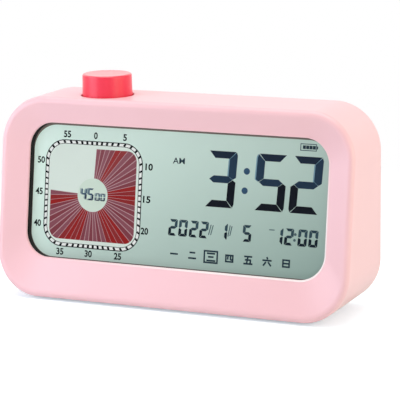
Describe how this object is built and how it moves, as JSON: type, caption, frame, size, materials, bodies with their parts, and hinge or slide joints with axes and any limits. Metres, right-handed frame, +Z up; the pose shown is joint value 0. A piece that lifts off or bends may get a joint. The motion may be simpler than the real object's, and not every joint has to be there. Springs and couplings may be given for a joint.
{
  "type": "visual timer",
  "caption": "Desk timer in a rounded leaning box with a recessed wide display, a push-and-turn knob on top and push buttons, a volume slider and a charging socket at the back.",
  "frame": {"origin": "on the table, under the middle of the timer's box", "axes": "+X to the right as the user reads the display, +Y to the back, +Z up"},
  "size_m": [0.1344, 0.0368, 0.0794],
  "materials": {
    "housing_pink": "satin moulded plastic",
    "button_pink": "satin moulded plastic",
    "knob_red": "satin moulded plastic",
    "lens_clear": "polished clear acrylic",
    "gasket_black": "foam",
    "display_film": "grey-green display film",
    "display_glass": "thin display glass",
    "light_guide": "frosted acrylic",
    "led_epoxy": "moulded epoxy",
    "holder_white": "moulded plastic",
    "contact_rubber": "layered contact rubber",
    "board_laminate": "green solder mask",
    "sealing_epoxy": "black sealing drop",
    "steel_plated": "zinc plated",
    "moulding_black": "moulded plastic",
    "foot_rubber": "soft rubber",
    "cell_pouch": "foil pouch",
    "tape_white": "foam tape",
    "magnet_grey": "plated magnet",
    "cone_paper": "pressed paper"
  },
  "bodies": {
    "case": {"front_housing": "housing_pink", "rear_cover": "housing_pink", "cover_screws": "steel_plated", "foot_pads": "foot_rubber", "display_lens": "lens_clear", "lens_gasket": "gasket_black", "front_polariser": "display_film", "front_glass": "display_glass", "rear_glass": "display_glass", "rear_reflector": "display_film", "light_guide": "light_guide", "backlight_leds": "led_epoxy", "lcd_holder": "holder_white", "zebra_strip": "contact_rubber", "main_board": "board_laminate", "controller_blob": "sealing_epoxy", "board_connectors": "holder_white", "board_screws": "steel_plated", "encoder_board": "board_laminate", "encoder_screws": "steel_plated", "encoder_base": "moulding_black", "push_dome": "steel_plated", "encoder_bushing": "steel_plated", "key_board": "board_laminate", "key_board_screws": "steel_plated", "tact_switches": "moulding_black", "volume_switch": "steel_plated", "usb_shell": "steel_plated", "usb_tongue": "moulding_black", "battery_cell": "cell_pouch", "battery_tape": "tape_white", "speaker_basket": "steel_plated", "speaker_magnet": "magnet_grey", "speaker_cone": "cone_paper", "speaker_gasket": "gasket_black"},
    "rotor": {"encoder_rotor": "holder_white"},
    "knob": {"knob": "knob_red", "encoder_shaft": "steel_plated"},
    "slider": {"volume_slider": "moulding_black"},
    "set_button": {"set_button": "button_pink"},
    "up_button": {"up_button": "button_pink"},
    "down_button": {"down_button": "button_pink"},
    "alarm_button": {"alarm_button": "button_pink"}
  },
  "joints": [
    {"name": "knob_turn", "type": "hinge", "parent": "case", "child": "rotor", "pos_m": [-0.0313, 0.00421, 0.0718], "axis": [0, 0, 1], "continuous": true},
    {"name": "knob_push", "type": "slide", "parent": "rotor", "child": "knob", "axis": [0, 0, -1], "range_m": [0, 0.0005], "stiffness_N_per_m": 4000},
    {"name": "set_button_press", "type": "slide", "parent": "case", "child": "set_button", "axis": [0, -1, 0], "range_m": [0, 0.0006], "stiffness_N_per_m": 2500},
    {"name": "up_button_press", "type": "slide", "parent": "case", "child": "up_button", "axis": [0, -1, 0], "range_m": [0, 0.0006], "stiffness_N_per_m": 2500},
    {"name": "down_button_press", "type": "slide", "parent": "case", "child": "down_button", "axis": [0, -1, 0], "range_m": [0, 0.0006], "stiffness_N_per_m": 2500},
    {"name": "alarm_button_press", "type": "slide", "parent": "case", "child": "alarm_button", "axis": [0, -1, 0], "range_m": [0, 0.0006], "stiffness_N_per_m": 2500},
    {"name": "volume_slide", "type": "slide", "parent": "case", "child": "slider", "axis": [1, 0, 0], "range_m": [-0.002, 0.002]}
  ]
}
